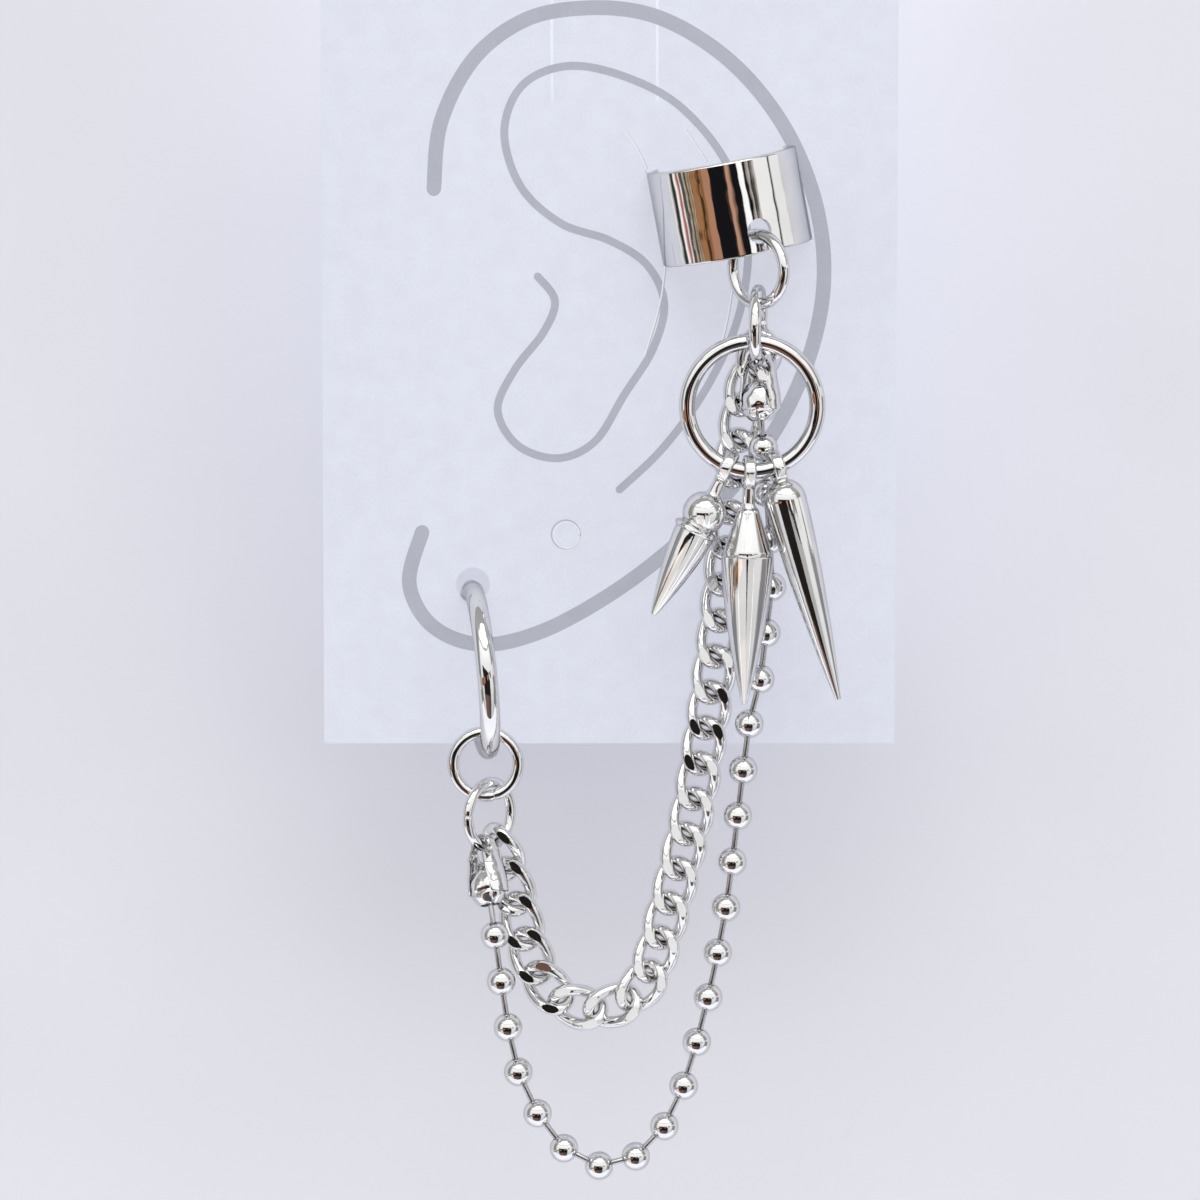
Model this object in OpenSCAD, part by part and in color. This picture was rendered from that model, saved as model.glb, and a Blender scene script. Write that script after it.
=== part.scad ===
// Ear chain earring on its display card: an ear cuff and a hoop joined by a
// curb chain and a ball chain, with a large ring of three spike drops.
// The origin is the middle of the card's hang hole. Z is up, and the face
// of the card with the jewel on it looks along -Y.

/* [Card] */
// Width of the card
card_w = 40; // [34:1:60]
// From the hoop's hole in the card down to the card's bottom edge
card_below_hoop = 11.22; // [9:0.02:15]
// Thickness of the card
card_t = 0.5; // [0.3:0.05:0.8]
// Diameter of the hang hole
hang_hole_d = 4; // [3:0.5:6]
// From the hang hole's middle up to the card's top edge
hang_drop = 4; // [3.5:0.5:8]
// From the hang hole's middle left to the hanging tongue's side slit
tongue_left = 4; // [3.5:0.1:6]
// From the hang hole's middle right to the tongue's other side slit
tongue_right = 3.3; // [3.3:0.1:6]
// How far the side slits run below the hang hole's middle
tongue_down = 11.6; // [6:0.2:12]
// Width of the side slits
slit_w = 0.2; // [0.1:0.05:0.4]

/* [Ear cuff] */
// Outer diameter of the cuff band
cuff_d = 10.5; // [10:0.1:11.5]
// Height of the cuff band
cuff_h = 6.6; // [5.6:0.1:8]
// Thickness of the cuff's sheet metal
cuff_t = 0.6; // [0.4:0.05:0.8]
// Opening of the C at the back, in degrees
cuff_open = 100; // [60:5:120]
// Lean of the cuff's axis to the left, in degrees
cuff_lean = 10.5; // [0:0.5:15]
// Cuff's middle, right of the hang hole
cuff_right = 8.3; // [6:0.1:10]
// Cuff's middle, below the hang hole
cuff_down = 18.75; // [17:0.25:20]
// Cuff's axis, in front of the card's middle plane
cuff_proud = 1.2; // [0.6:0.1:1.6]
// Diameter of the hole drilled for the jump ring
cuff_hole_d = 1.75; // [1.7:0.05:2.1]
// Turn of that hole from the front to the right, in degrees
cuff_hole_turn = 19; // [0:1:25]
// That hole's middle, below the middle of the band
cuff_hole_low = 1.75; // [1.5:0.05:1.9]

/* [Jump rings] */
// Outer diameter of the ring through the cuff
cuff_ring_d = 5.6; // [5.2:0.1:6]
// Wire of the ring through the cuff
cuff_ring_wire = 0.8; // [0.7:0.05:0.9]
// Turn of the ring through the cuff away from the face of the card
cuff_ring_turn = 45; // [40:1:50]
// Outer diameter of the ring that gathers the chains
link_ring_d = 5.65; // [5.6:0.05:6]
// Wire of the ring that gathers the chains
link_ring_wire = 0.85; // [0.75:0.05:0.9]
// Turn of the ring that gathers the chains, 90 being edge on to the front
link_ring_turn = 83; // [80:1:90]
// Outer diameter of the two rings under the hoop
hoop_ring_d = 5.3; // [5.2:0.05:5.6]
// Wire of the two rings under the hoop
hoop_ring_wire = 0.75; // [0.65:0.05:0.8]
// Turn of the lower of those two rings
hoop_ring_turn = 50; // [45:1:60]

/* [Large ring] */
// Outer diameter of the large ring
large_ring_d = 9.95; // [9.5:0.05:10.8]
// Wire of the large ring
large_ring_wire = 1; // [0.8:0.05:1.1]
// Place of the large ring's wire in its jump ring, forward from the bottom
large_ring_seat = 41; // [38:1:46]

/* [Spikes] */
// Bore of each spike's cast eye
eye_bore = 1.55; // [1.5:0.05:1.7]
// Thickness of the eye's strap
eye_t = 0.42; // [0.35:0.01:0.5]
// Width of the eye's strap
eye_w = 0.85; // [0.7:0.05:1]
// Length of the short spike, from the ring's wire to the tip
short_l = 11.5; // [10:0.25:13]
// Diameter of the short spike's rim
short_d = 3.1; // [2.6:0.1:3.2]
// Height of the short spike's cone under the rim
short_cone = 6.7; // [5.5:0.1:7]
// Diameter of the short spike's ball
short_ball_d = 3; // [2.6:0.1:3.1]
// Length of the middle spike, from the ring's wire to the tip
middle_l = 16.2; // [14:0.2:18]
// Largest diameter of the middle spike
middle_d = 3.6; // [3:0.1:3.7]
// From the ring's wire down to the middle spike's widest place
middle_crease = 5.9; // [5:0.1:7]
// Length of the long spike, from the ring's wire to the tip
long_l = 16.8; // [15:0.2:19]
// Largest diameter of the long spike
long_d = 2.9; // [2.4:0.1:3]
// Places of the three spikes round the large ring from its bottom, in degrees
spike_spread = 22; // [20:0.5:26]

/* [Curb chain] */
// Distance from one link to the next
curb_pitch = 2.5; // [2.4:0.02:2.6]
// Wire of the links
curb_wire = 0.7; // [0.6:0.02:0.72]
// Width over one link
curb_w = 3.25; // [3.1:0.05:3.4]
// Thickness between the two ground faces of the chain
curb_flat = 1.4; // [1.3:0.02:1.6]
// Play between two links
curb_play = 0.35; // [0.32:0.01:0.38]

/* [Ball chain] */
// Diameter of a bead
bead_d = 2; // [1.6:0.05:2.1]
// Distance from one bead to the next
bead_pitch = 3.2; // [2.9:0.05:3.4]
// Wall of a bead, which is hollow
bead_wall = 0.16; // [0.1:0.02:0.18]
// Diameter of the pins between the beads
pin_d = 0.36; // [0.3:0.02:0.4]

/* [Chain tips] */
// Wall of the cup that holds the last bead
cup_wall = 0.2; // [0.15:0.05:0.3]
// Width of the folded strap
strap_w = 0.85; // [0.7:0.05:1]
// Thickness of the folded strap
strap_t = 0.28; // [0.2:0.02:0.32]
// From the jump ring's wire down to the middle of the cup
tip_drop = 3.05; // [2.9:0.05:3.4]

/* [Hoop] */
// Outer diameter of the hoop
hoop_d = 12.6; // [12:0.1:12.8]
// Thickness of the hoop's tube
hoop_wire = 1.4; // [1.2:0.05:1.6]
// Hoop's hole in the card, left of the hang hole
hoop_left = 9.55; // [8:0.05:11]
// Hoop's hole in the card, below the hang hole
hoop_down = 45.28; // [44:0.02:46]
// Diameter of the hoop's hole in the card
hoop_hole_d = 2.4; // [2.3:0.1:3]
// Hoop's middle, in front of the card's middle plane
hoop_proud = 1.2; // [0.8:0.1:1.4]
// Lean of the hoop, its bottom to the right, in degrees
hoop_lean = 5; // [0:0.5:8]
// Turn of the hoop's front to the right, in degrees
hoop_turn = 6.5; // [0:0.5:8]

/* [Fits] */
// Gap between two pieces of metal that hang in each other
gap = 0.12; // [0.1:0.01:0.16]
// Gap between the metal and the card
card_gap = 0.15; // [0.1:0.05:0.3]

/* [Hidden] */
$fn = 48;
silver = [0.78, 0.78, 0.8];
card_white = [0.9, 0.91, 0.95];

// Points along a curve
function unit(v) = v / norm(v);
function spline_point(a, b, c, d, t) =
    0.5 * (2 * b + (c - a) * t + (2 * a - 5 * b + 4 * c - d) * t * t
        + (3 * b - a - 3 * c + d) * t * t * t);
spline_steps = 8;
function smooth_path(pts) = [
    for (i = [0 : len(pts) - 2])
        for (j = [0 : spline_steps - 1])
            spline_point(pts[max(i - 1, 0)], pts[i], pts[i + 1],
                pts[min(i + 2, len(pts) - 1)], j / spline_steps),
    pts[len(pts) - 1],
];
function runs(path) = [
    for (i = 0, s = 0; i < len(path); i = i + 1,
        s = i < len(path) ? s + norm(path[i] - path[i - 1]) : s) s
];
function point_at(path, run, s) = [
    for (k = [0 : 2]) lookup(s, [for (i = [0 : len(path) - 1]) [run[i], path[i][k]]])
];

// Vector turned round Z by an angle, and a vector leaned in the XZ plane
function turned(v, a) = [v[0] * cos(a) - v[1] * sin(a), v[0] * sin(a) + v[1] * cos(a), v[2]];
function leaned(v, a) = [v[0] * cos(a) + v[2] * sin(a), v[1], v[2] * cos(a) - v[0] * sin(a)];
function pitched(v, a) = [v[0], v[1] * cos(a) - v[2] * sin(a), v[1] * sin(a) + v[2] * cos(a)];

// Radii of the wires' middle lines
cuff_ring_r = (cuff_ring_d - cuff_ring_wire) / 2;
link_ring_r = (link_ring_d - link_ring_wire) / 2;
hoop_ring_r = (hoop_ring_d - hoop_ring_wire) / 2;
large_ring_r = (large_ring_d - large_ring_wire) / 2;
hoop_r = (hoop_d - hoop_wire) / 2;

// Way from a ring's middle to a point of its wire: the angle a is from the
// bottom, and the ring is turned round Z from the face of the card
function ring_point(a, turn) = turned([sin(a), 0, -cos(a)], turn);

card_h = hang_drop + hoop_down + card_below_hoop;

// Ear cuff and the hole in it
cuff_at = [cuff_right, -cuff_proud, -cuff_down];
cuff_mid_r = (cuff_d - cuff_t) / 2;
cuff_hole_at = cuff_at + leaned(
    [cuff_mid_r * sin(cuff_hole_turn), -cuff_mid_r * cos(cuff_hole_turn), -cuff_hole_low],
    -cuff_lean);

// Rings that hang from the cuff, each one from the ring above it
cuff_ring_sag = (cuff_hole_d - cuff_ring_wire) / 2 - 2 * gap;
cuff_ring_at = cuff_hole_at - [0, 0, cuff_ring_sag + cuff_ring_r];
link_ring_at = cuff_ring_at + [0, 0,
    (cuff_ring_wire + link_ring_wire) / 2 + gap - cuff_ring_r - link_ring_r];
large_seat_r = link_ring_r - (link_ring_wire + large_ring_wire) / 2 - gap;
pendant_pivot = link_ring_at
    + large_seat_r * ring_point(-large_ring_seat, link_ring_turn);
large_ring_shift = -0.3;
large_ring_at = pendant_pivot + [large_ring_shift, 0, -large_ring_r];

// Spikes: place on the large ring, lean and turn of the eye, in degrees
short_place = -spike_spread;
short_lean = 26.5;
short_turn = -8;
middle_place = -2.6;
middle_lean = 1;
middle_turn = 5;
long_place = spike_spread;
long_lean = -15;
long_turn = 12;
function on_large_ring(place) = large_ring_at + large_ring_r * [sin(place), 0, -cos(place)];

// Hoop, and the rings that hang from it
hoop_up = leaned([0, 0, 1], -hoop_lean);
hoop_rise = 0.05;
hoop_at = [-hoop_left, -hoop_proud, -hoop_down]
    - [0, 0, (hoop_hole_d - hoop_wire) / 2 - card_gap - hoop_rise]
    - hoop_r * hoop_up;
hoop_bottom = hoop_at - hoop_r * hoop_up;
hoop_ring_upper_shift = -0.1;
hoop_ring_upper_at = hoop_bottom
    + [hoop_ring_upper_shift, 0, (hoop_wire + hoop_ring_wire) / 2 + gap - hoop_ring_r];
hoop_ring_lower_shift = 0.25;
hoop_ring_lower_gap = 1.7 * gap;
hoop_ring_lower_at = hoop_ring_upper_at
    + [hoop_ring_lower_shift, 0, hoop_ring_wire + hoop_ring_lower_gap - 2 * hoop_ring_r];

// Chain tips: where each strap is hooked on its jump ring, and its lean
upper_tip_seat = 0;
upper_tip_hook = link_ring_at + link_ring_r * ring_point(upper_tip_seat, link_ring_turn);
upper_tip_turn = link_ring_turn - 90;
upper_tip_pitch = 0;
upper_tip_lean = -3;
lower_tip_seat = -16;
lower_tip_hook = hoop_ring_lower_at
    + hoop_ring_r * ring_point(lower_tip_seat, hoop_ring_turn);
lower_tip_turn = hoop_ring_turn - 90;
lower_tip_pitch = -10;
lower_tip_lean = -17;
function tip_way(turn, pitch, lean) = turned(pitched(leaned([0, 0, -1], lean), pitch), turn);
upper_ball = upper_tip_hook
    + tip_drop * tip_way(upper_tip_turn, upper_tip_pitch, upper_tip_lean);
lower_ball = lower_tip_hook
    + tip_drop * tip_way(lower_tip_turn, lower_tip_pitch, lower_tip_lean);

// Curb chain: the two end links hang from their rings in a chosen way, and
// the others follow a route between the middles of those two
curb_half = (curb_pitch + curb_wire + curb_play) / 2;
curb_bow = 0.6;
upper_curb_seat = 37.5;
upper_curb_way = unit([-0.2, 0.42, -0.885]);
upper_hook_play = 1.69;
first_link_at = link_ring_at + link_ring_r * ring_point(upper_curb_seat, link_ring_turn)
    + (curb_half - upper_hook_play * (link_ring_wire + curb_wire) / 2 - gap) * upper_curb_way;
lower_curb_seat = 25.6;
lower_curb_way = unit([-0.27, -0.105, 0.957]);
lower_hook_play = 1.25;
last_link_at = hoop_ring_lower_at + hoop_ring_r * ring_point(lower_curb_seat, hoop_ring_turn)
    - (curb_half - lower_hook_play * (hoop_ring_wire + curb_wire) / 2 - gap) * lower_curb_way;
curb_points = [
    [9.4, -3.5, -31.6], [8.8, -2.9, -36.7], [8.3, -2.8, -41.8], [7.8, -2.8, -46.6],
    [7.2, -2.8, -51.6], [6.5, -2.8, -56.6], [5.75, -2.8, -61], [4.95, -2.8, -64.6],
    [4, -2.75, -68.4], [2.9, -2.6, -72.15], [1.95, -2.4, -73.75], [0.4, -2.2, -74.8],
    [-1.6, -1.95, -75.05], [-3.4, -1.75, -74.45], [-4.7, -1.5, -73.15],
    [-5.35, -1.25, -71.9], [-6.1, -0.95, -69.4], [-6.7, -0.6, -67],
];
curb_path = smooth_path(concat([first_link_at], curb_points, [last_link_at]));
curb_runs = runs(curb_path);
curb_l = curb_runs[len(curb_runs) - 1];
curb_gaps = round(curb_l / curb_pitch);
curb_step = curb_l / curb_gaps;
links = [for (i = [0 : curb_gaps]) point_at(curb_path, curb_runs, i * curb_step)];
// Turn of the last links' faces to the left, link by link from the end
end_turn = 22;
end_turn_step = 7;

// Ball chain: its route between the two cups
ball_points = [
    [10.6, -4.9, -35.1], [10.85, -4.4, -38.45], [11.1, -4.3, -41.75],
    [11.25, -4.3, -45], [10.85, -4.3, -48.25], [10.45, -4.2, -51.5],
    [9.7, -4.1, -54.6], [8.95, -4, -60.95], [8.15, -3.9, -67.4],
    [6.95, -3.8, -73.7], [5.3, -3.7, -79.9], [3.95, -3.7, -82.95], [1.95, -3.7, -85.2],
    [-0.6, -3.7, -85.95], [-3, -3.7, -84.85], [-4.95, -3.7, -82.35],
    [-6.3, -3.65, -79.5], [-7.05, -3.65, -76.4], [-7.95, -3.4, -70.05],
];
ball_path = smooth_path(concat([upper_ball], ball_points, [lower_ball]));
ball_runs = runs(ball_path);
ball_l = ball_runs[len(ball_runs) - 1];
bead_gaps = round(ball_l / bead_pitch);
// The beads crowd together a little at the bottom of the loop: the share of
// the pitch that is lost there, the place as a share of the chain's length,
// and how many gaps it reaches to either side
crowd = 0.18;
crowd_place = 0.71;
crowd_reach = 1.5;
function bead_gap(i) = 1 - crowd * exp(-pow((i + 0.5 - crowd_place * bead_gaps) / crowd_reach, 2));
bead_shares = [
    for (i = 0, s = 0; i <= bead_gaps; s = s + bead_gap(i), i = i + 1) s
];
beads = [
    for (share = bead_shares) point_at(ball_path, ball_runs, share * ball_l / bead_shares[bead_gaps])
];

// Stands children at one point with their Z axis towards another
module towards(from, to) {
    v = to - from;
    translate(from)
        rotate([0, acos(v[2] / norm(v)), atan2(v[1], v[0])]) children();
}

// A ring of round wire that lies in the XZ plane
module wire_ring(r, wire) {
    rotate([90, 0, 0])
        rotate_extrude()
            translate([r, 0]) circle(d = wire, $fn = 24);
}

// Card: a sheet with the tongue slits, the hang hole, the slots for the
// cuff's two arms, the hoop's hole and a notch behind the hoop
module display_card() {
    color(card_white)
        difference() {
            translate([-card_w / 2, -card_t / 2, hang_drop - card_h])
                cube([card_w, card_t, card_h]);
            through_card([0, 0, 0], hang_hole_d);
            tongue_slit(-tongue_left);
            tongue_slit(tongue_right);
            cuff_place() cuff_band(card_gap, 360);
            through_card([-hoop_left, 0, -hoop_down], hoop_hole_d);
            hoop_place() wire_ring(hoop_r, hoop_wire + 2 * card_gap);
        }
}

module through_card(at, d) {
    translate([at[0], card_t, at[2]])
        rotate([90, 0, 0]) cylinder(h = 2 * card_t, d = d);
}

module tongue_slit(x) {
    translate([x - slit_w / 2, -card_t, -tongue_down])
        cube([slit_w, 2 * card_t, tongue_down + hang_drop + slit_w]);
}

// Ear cuff: a C of sheet metal, open at the back
module cuff_place() {
    translate(cuff_at) rotate([0, -cuff_lean, 0]) children();
}

module cuff_band(grow, sweep) {
    rotate([0, 0, 270 - sweep / 2])
        rotate_extrude(angle = sweep, $fn = 96)
            translate([cuff_d / 2 - cuff_t - grow, -cuff_h / 2 - grow])
                square([cuff_t + 2 * grow, cuff_h + 2 * grow]);
}

module ear_cuff() {
    color(silver)
        cuff_place()
            difference() {
                cuff_band(0, 360 - cuff_open);
                rotate([0, 0, cuff_hole_turn])
                    translate([0, 0, -cuff_hole_low])
                        rotate([90, 0, 0]) cylinder(h = cuff_d, d = cuff_hole_d);
            }
}

module cuff_ring() {
    color(silver)
        translate(cuff_ring_at)
            rotate([0, 0, -cuff_ring_turn]) wire_ring(cuff_ring_r, cuff_ring_wire);
}

module link_ring() {
    color(silver)
        translate(link_ring_at)
            rotate([0, 0, link_ring_turn]) wire_ring(link_ring_r, link_ring_wire);
}

module large_ring() {
    color(silver)
        translate(large_ring_at) wire_ring(large_ring_r, large_ring_wire);
}

// Spikes: each is cast in one piece with its eye, and is made here with
// the ring's wire at the origin and the tip straight down
module spike_place(place, lean) {
    translate(on_large_ring(place)) rotate([0, lean, 0]) children();
}

// How far the middle of an eye sits under the wire that it hangs on
eye_low = (eye_bore - large_ring_wire) / 2 - 1.5 * gap;

module spike_eye(turn) {
    translate([0, 0, -eye_low])
        rotate([0, 90, turn])
            rotate_extrude($fn = 48)
                translate([(eye_bore + eye_t) / 2, 0]) strap_section(eye_t, eye_w);
}

module strap_section(t, w) {
    square([t, w - t], center = true);
    translate([0, (w - t) / 2]) circle(d = t, $fn = 24);
    translate([0, (t - w) / 2]) circle(d = t, $fn = 24);
}

// Solid of revolution that hangs down, from [radius, depth] rows
module hanging_turn(rows) {
    rotate_extrude($fn = 48)
        polygon(concat([[0, -rows[0][1]]],
            [for (row = rows) [row[0], -row[1]]],
            [[0, -rows[len(rows) - 1][1]]]));
}

// Outline of a blade that bulges a little on its way to a blunt tip
blade_steps = 8;
blade_power = 1.6;
tip_r = 0.2;
function blade(r, from, to) = concat(
    [for (i = [0 : blade_steps - 1])
        [tip_r + (r - tip_r) * (1 - pow(i / blade_steps, blade_power)),
            from + (to - tip_r / 2 - from) * i / blade_steps]],
    [[tip_r, to - tip_r / 2], [tip_r / 2, to]]);
eye_bottom = eye_low + eye_bore / 2 + eye_t / 2;
neck_r = 0.42;

// Short spike: a ball on a neck, a thin rim and a cone. The neck's two
// waists and the ball's drop into the rim are shares of the ball's radius
short_rim_t = 0.25;
short_ball_seat = 0.8;
short_neck = [[0.36, 0.95], [0.62, 0.7]];

module spike_short() {
    rim = short_l - short_cone;
    ball_r = short_ball_d / 2;
    ball_at = rim - short_ball_seat * ball_r;
    color(silver)
        spike_place(short_place, short_lean) {
            spike_eye(short_turn);
            hanging_turn(concat([[neck_r, eye_bottom]],
                [for (w = short_neck) [w[0] * ball_r, ball_at - w[1] * ball_r]]));
            translate([0, 0, -ball_at]) sphere(r = ball_r);
            hanging_turn(concat([[short_d / 2 - short_rim_t, rim - short_rim_t / 2],
                [short_d / 2, rim], [short_d / 2, rim + short_rim_t]],
                blade((short_d - short_rim_t) / 2, rim + short_rim_t, short_l)));
        }
}

// Middle spike: a neck, a blunt upper cone and a long lower cone
middle_shoulder = 3.25;
middle_neck_flare = 0.45;
middle_top_share = 0.4;

module spike_middle() {
    top = middle_crease - middle_shoulder;
    color(silver)
        spike_place(middle_place, middle_lean) {
            spike_eye(middle_turn);
            hanging_turn(concat([[neck_r, eye_bottom], [neck_r, top - middle_neck_flare],
                [middle_top_share * middle_d / 2, top], [middle_d / 2, middle_crease]],
                blade(middle_d / 2, middle_crease, middle_l)));
        }
}

// Long spike: a dome that runs out into one long cone
long_dome_sink = 0.9;

module spike_long() {
    dome_r = long_d / 2;
    dome_at = eye_bottom + long_dome_sink * dome_r;
    color(silver)
        spike_place(long_place, long_lean) {
            spike_eye(long_turn);
            translate([0, 0, -dome_at])
                sphere(r = dome_r);
            hanging_turn(blade(dome_r, dome_at, long_l));
        }
}

// Curb chain: twisted links whose front and back faces are ground flat
link_steps = 16;
wire_sides = 6;
curb_half_w = (curb_w - curb_wire) / 2;
function link_middle(a) = [curb_half * cos(a), curb_half_w * sin(a), -curb_bow * sin(2 * a)];
function link_heading(a) =
    unit([-curb_half * sin(a), curb_half_w * cos(a), -2 * curb_bow * cos(2 * a)]);
function link_outward(a) =
    let (h = link_heading(a), v = [cos(a), sin(a), 0]) unit(v - (v * h) * h);
function ground(p) = [p[0], p[1], min(max(p[2], -curb_flat / 2), curb_flat / 2)];
link_shape = [
    for (i = [0 : link_steps - 1])
        let (a = 360 * i / link_steps, out = link_outward(a), up = cross(link_heading(a), out))
            for (j = [0 : wire_sides - 1])
                let (b = 360 * (j + 0.5) / wire_sides)
                    ground(link_middle(a) + curb_wire / 2 * (cos(b) * out + sin(b) * up))
];
link_faces = [
    for (i = [0 : link_steps - 1], j = [0 : wire_sides - 1])
        let (k = (i + 1) % link_steps, n = (j + 1) % wire_sides)
            each [
                [i * wire_sides + j, k * wire_sides + j, k * wire_sides + n],
                [i * wire_sides + j, k * wire_sides + n, i * wire_sides + n],
            ]
];

// Each link lies along the route and shows its face to the front
module curb_link(i) {
    along = i == 0 ? upper_curb_way
        : i == curb_gaps ? lower_curb_way
        : unit(links[i + 1] - links[i - 1]);
    front = turned([0, -1, 0], -max(0, end_turn - end_turn_step * (curb_gaps - i)));
    face = unit(front - (front * along) * along);
    side = cross(face, along);
    multmatrix([
        [along[0], side[0], face[0], links[i][0]],
        [along[1], side[1], face[1], links[i][1]],
        [along[2], side[2], face[2], links[i][2]],
    ])
        polyhedron(link_shape, link_faces);
}

module curb_chain() {
    color(silver)
        for (i = [0 : curb_gaps]) curb_link(i);
}

// Ball chain: hollow drilled beads, joined by pins whose heads sit inside them
bore_d = pin_d + 2 * gap;
pin_head_d = 1.08 * bore_d;
pin_head_in = bead_d / 2 - bead_wall - 0.9 * gap - pin_head_d / 2;

// A bead at the origin, with one bore along Z
module bead() {
    rotate_extrude()
        difference() {
            circle(d = bead_d);
            circle(d = bead_d - 2 * bead_wall);
            translate([-bead_d, -bead_d / 2]) square([bead_d, bead_d]);
            square([bore_d / 2, bead_d]);
        }
}

module ball_chain_beads() {
    color(silver)
        for (i = [0 : bead_gaps])
            difference() {
                towards(beads[i], beads[i < bead_gaps ? i + 1 : i - 1]) bead();
                if (i > 0 && i < bead_gaps)
                    towards(beads[i], beads[i - 1]) cylinder(h = bead_d, d = bore_d, $fn = 24);
            }
}

// A pin of a given length between the middles of its two heads
module pin(length) {
    rotate_extrude($fn = 24)
        difference() {
            union() {
                square([pin_d / 2, length]);
                circle(d = pin_head_d);
                translate([0, length]) circle(d = pin_head_d);
            }
            translate([-bead_d, -bead_d]) square([bead_d, length + 2 * bead_d]);
        }
}

module ball_chain_pins() {
    color(silver)
        for (i = [0 : bead_gaps - 1])
            let (inset = pin_head_in * unit(beads[i + 1] - beads[i]),
                from = beads[i] + inset, to = beads[i + 1] - inset)
                towards(from, to) pin(norm(to - from));
}

// Chain tips: a cup round the last bead and a strap folded over the ring,
// made with the ring's wire at the origin
cup_r = bead_d / 2 + gap + cup_wall;
cup_mouth_d = 0.7 * bead_d;
strap_foot_out = 0.6 * strap_t;
strap_foot_h = 0.3 * bead_d;
function strap_arch_r(wire) = wire / 2 + 1.85 * gap;

module chain_tip(wire) {
    difference() {
        union() {
            rotate([90, 0, 0])
                translate([0, 0, -strap_w / 2])
                    linear_extrude(strap_w) strap_outline(strap_arch_r(wire));
            translate([0, 0, -tip_drop]) sphere(r = cup_r);
        }
        translate([0, 0, -tip_drop]) sphere(r = cup_r - cup_wall);
        translate([0, 0, -tip_drop - cup_r]) cylinder(h = cup_r, d = cup_mouth_d);
    }
}

// The folded strap from the side: an arch and two legs that spread
module strap_outline(arch) {
    foot = cup_r + strap_foot_out;
    low = tip_drop + strap_foot_h / 2;
    high = tip_drop - strap_foot_h / 2;
    difference() {
        circle(r = arch + strap_t);
        circle(r = arch);
        translate([-2 * arch, -4 * arch]) square(4 * arch);
    }
    for (side = [-1, 1])
        polygon([[side * arch, 0], [side * (arch + strap_t), 0], [side * foot, -high],
            [side * foot, -low], [side * (foot - strap_t), -low],
            [side * (foot - strap_t), -high]]);
}

module ball_tip_upper() {
    color(silver)
        translate(upper_tip_hook)
            rotate([0, 0, upper_tip_turn])
                rotate([upper_tip_pitch, 0, 0])
                    rotate([0, upper_tip_lean, 0]) chain_tip(link_ring_wire);
}

module ball_tip_lower() {
    color(silver)
        translate(lower_tip_hook)
            rotate([0, 0, lower_tip_turn])
                rotate([lower_tip_pitch, 0, 0])
                    rotate([0, lower_tip_lean, 0]) chain_tip(hoop_ring_wire);
}

module hoop_place() {
    translate(hoop_at)
        rotate([0, -hoop_lean, 0])
            rotate([0, 0, 90 + hoop_turn]) children();
}

module hoop() {
    color(silver)
        hoop_place() wire_ring(hoop_r, hoop_wire);
}

module hoop_ring_upper() {
    color(silver)
        translate(hoop_ring_upper_at) wire_ring(hoop_ring_r, hoop_ring_wire);
}

module hoop_ring_lower() {
    color(silver)
        translate(hoop_ring_lower_at)
            rotate([0, 0, hoop_ring_turn]) wire_ring(hoop_ring_r, hoop_ring_wire);
}

display_card();
ear_cuff();
cuff_ring();
link_ring();
large_ring();
spike_short();
spike_middle();
spike_long();
curb_chain();
ball_chain_beads();
ball_chain_pins();
ball_tip_upper();
ball_tip_lower();
hoop();
hoop_ring_upper();
hoop_ring_lower();
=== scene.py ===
from math import asin, cos, degrees, exp, pi, radians, sin, tan

import bmesh
import bpy
import numpy as np
from mathutils import Matrix, Vector, noise


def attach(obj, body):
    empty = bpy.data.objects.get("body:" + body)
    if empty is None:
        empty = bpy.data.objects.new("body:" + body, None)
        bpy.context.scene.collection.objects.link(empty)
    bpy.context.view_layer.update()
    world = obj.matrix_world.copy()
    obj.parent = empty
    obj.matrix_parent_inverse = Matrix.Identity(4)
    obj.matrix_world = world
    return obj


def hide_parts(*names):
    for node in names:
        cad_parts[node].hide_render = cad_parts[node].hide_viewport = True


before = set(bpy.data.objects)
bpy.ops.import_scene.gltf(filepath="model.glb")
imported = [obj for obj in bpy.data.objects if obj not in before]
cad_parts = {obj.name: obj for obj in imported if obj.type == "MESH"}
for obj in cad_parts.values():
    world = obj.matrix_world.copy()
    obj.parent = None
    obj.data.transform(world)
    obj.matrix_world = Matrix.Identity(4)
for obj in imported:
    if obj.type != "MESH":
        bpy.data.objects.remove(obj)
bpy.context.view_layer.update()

# Lengths are written in millimetres and turned into metres when a mesh is made
MM = 0.001
JEWEL, CARD = "silver", "card"
BODY = "card_and_chains"


# Camera

# Fitted to the photo: the cuff is seen a little from above
CAMERA_AT = Vector((-0.665, -446.646, 8.441))
CAMERA_TO = Vector((-0.665, 0.0, -46.4))
SENSOR, LENS = 36, 192.86
CLIP = (0.01, 10)

camera_data = bpy.data.cameras.new("photo_camera")
camera_data.sensor_width = SENSOR
camera_data.lens = LENS
camera_data.clip_start, camera_data.clip_end = CLIP
camera = bpy.data.objects.new("photo_camera", camera_data)
bpy.context.scene.collection.objects.link(camera)
camera.location = CAMERA_AT * MM
camera.rotation_mode = "QUATERNION"
camera.rotation_quaternion = (CAMERA_TO - CAMERA_AT).to_track_quat("-Z", "Y")
bpy.context.scene.camera = camera


# Materials


def new_material(name):
    mat = bpy.data.materials.new(name)
    mat.use_nodes = True
    nodes, links = mat.node_tree.nodes, mat.node_tree.links
    return mat, nodes, links, nodes["Principled BSDF"]


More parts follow.
